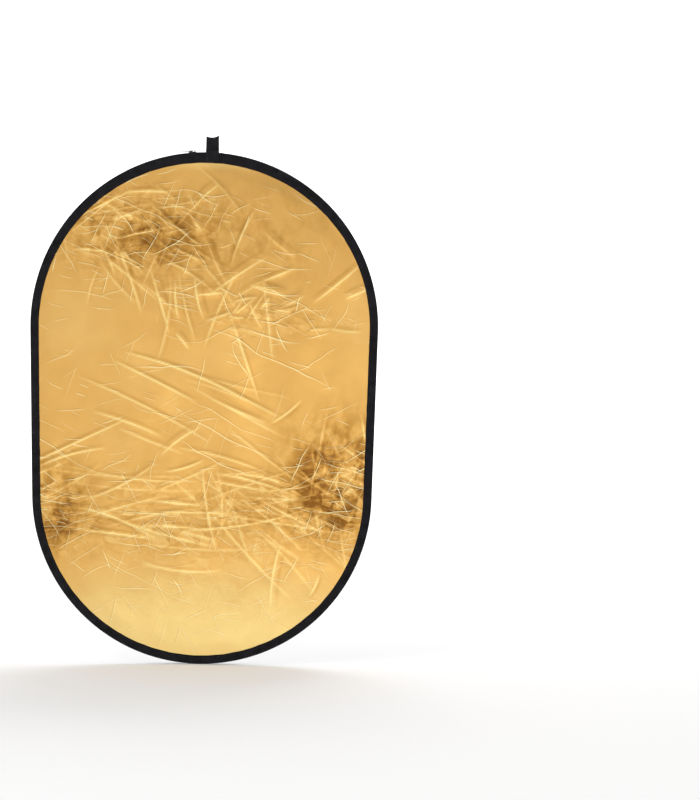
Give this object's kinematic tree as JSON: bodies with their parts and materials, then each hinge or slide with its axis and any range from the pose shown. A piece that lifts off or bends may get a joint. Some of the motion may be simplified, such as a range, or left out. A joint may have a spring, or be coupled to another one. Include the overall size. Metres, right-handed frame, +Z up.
{
  "type": "collapsible reflector disc",
  "caption": "Oval collapsible light reflector: sprung translucent diffuser core inside a zip-on cover, creased gold face, silver back, black bound rim and a hanging tab.",
  "frame": {"origin": "under the rim's lowest point, at mid thickness", "axes": "+Z up the long axis to the hanging tab, +X to the right seen from the gold face, the gold face looks along -Y"},
  "size_m": [0.611, 0.0157, 0.9276],
  "materials": {
    "spring_steel": "blued flat spring steel",
    "ferrule_steel": "plain crimped steel",
    "diffuser_cloth": "translucent white nylon",
    "binding_cloth": "black polyester binding, slight sheen",
    "thread": "black polyester thread",
    "webbing": "black woven webbing",
    "zip_metal": "black nickel plated",
    "gold_foil": "gold metallised foil laminated to cloth, creased",
    "white_cloth": "matte white cloth",
    "zip_tape": "black knitted zip tape",
    "zip_coil": "black nylon coil",
    "silver_foil": "silver metallised foil laminated to cloth, creased",
    "black_cloth": "matte black cloth"
  },
  "bodies": {
    "core": {"spring_hoop": "spring_steel", "hoop_ferrule": "ferrule_steel", "diffuser_panel": "diffuser_cloth", "diffuser_binding": "binding_cloth", "diffuser_thread_front": "thread", "diffuser_thread_back": "thread", "top_gusset": "webbing", "tab_root": "webbing", "zip_bottom_stop": "zip_metal"},
    "front_cover": {"gold_panel": "gold_foil", "white_lining": "white_cloth", "front_binding": "binding_cloth", "front_binding_thread": "thread", "front_zip_tape": "zip_tape", "front_zip_coil": "zip_coil", "front_top_stop": "zip_metal", "tab_anchor_front": "webbing", "anchor_thread_front": "thread"},
    "back_cover": {"silver_panel": "silver_foil", "black_lining": "black_cloth", "back_binding": "binding_cloth", "back_binding_thread": "thread", "back_zip_tape": "zip_tape", "back_zip_coil": "zip_coil", "back_top_stop": "zip_metal", "tab_anchor_back": "webbing", "anchor_thread_back": "thread"},
    "zip_slider": {"zip_slider_body": "zip_metal"},
    "zip_pull": {"zip_pull_tab": "zip_metal"},
    "tab": {"hanging_tab": "webbing", "tab_thread_front": "thread", "tab_thread_back": "thread"}
  },
  "joints": [
    {"name": "front_cover_swing", "type": "hinge", "parent": "core", "child": "front_cover", "pos_m": [0, -0.0039, 0.9005], "axis": [-1, 0, 0], "range_deg": [0, 95], "deforming": ["front_zip_tape", "front_zip_coil", "front_top_stop"]},
    {"name": "back_cover_swing", "type": "hinge", "parent": "core", "child": "back_cover", "pos_m": [0, 0.0039, 0.9005], "axis": [1, 0, 0], "range_deg": [0, 95], "deforming": ["back_zip_tape", "back_zip_coil", "back_top_stop"]},
    {"name": "zip_travel", "type": "hinge", "parent": "core", "child": "zip_slider", "pos_m": [0, 0, 0.594], "axis": [0, -1, 0], "range_deg": [0, 72]},
    {"name": "zip_pull_swing", "type": "hinge", "parent": "zip_slider", "child": "zip_pull", "pos_m": [-0.02525, 0, 0.90106], "axis": [0, 1, 0], "range_deg": [0, 165]},
    {"name": "tab_fold", "type": "hinge", "parent": "core", "child": "tab", "pos_m": [0.01, 0, 0.906], "axis": [1, 0, 0], "range_deg": [-75, 75]}
  ]
}
